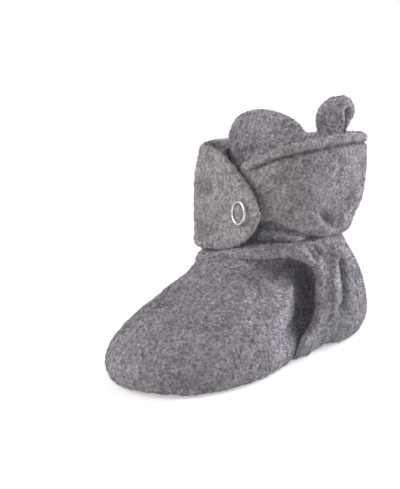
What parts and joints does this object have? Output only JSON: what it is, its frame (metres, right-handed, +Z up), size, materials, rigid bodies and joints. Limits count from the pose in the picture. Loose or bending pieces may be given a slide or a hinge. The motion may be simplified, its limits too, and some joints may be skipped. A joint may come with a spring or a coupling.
{
  "type": "fleece bootie",
  "caption": "Soft fleece ankle bootie for a toddler: rounded foot, heel overlay, ankle wrap closed by a ring fastener, padded tongue, pull loop and a sole with grip prints.",
  "frame": {"origin": "on the floor plane under the middle of the sole, at the back of its flat forefoot; the centre of mount sole_rest", "axes": "+X points to the toe along the shoe's length, +Y to the wearer's left (the outer side), +Z up"},
  "size_m": [0.1198, 0.0612, 0.094],
  "materials": {
    "fleece_grey": "soft brushed fleece, heather grey",
    "fleece_charcoal": "flat dark fleece cloth",
    "print_silver": "matte printed grip dots",
    "ring_metal": "pale nickel, soft shine"
  },
  "bodies": {
    "root": {"upper": "fleece_grey", "sole": "fleece_charcoal", "insole": "fleece_grey", "quarter": "fleece_grey", "ankle_wrap": "fleece_grey", "tongue": "fleece_grey", "pull_loop": "fleece_grey", "snap_ring": "ring_metal", "grip_1": "print_silver", "grip_2": "print_silver", "grip_3": "print_silver", "grip_4": "print_silver", "grip_5": "print_silver", "grip_6": "print_silver"}
  },
  "joints": []
}
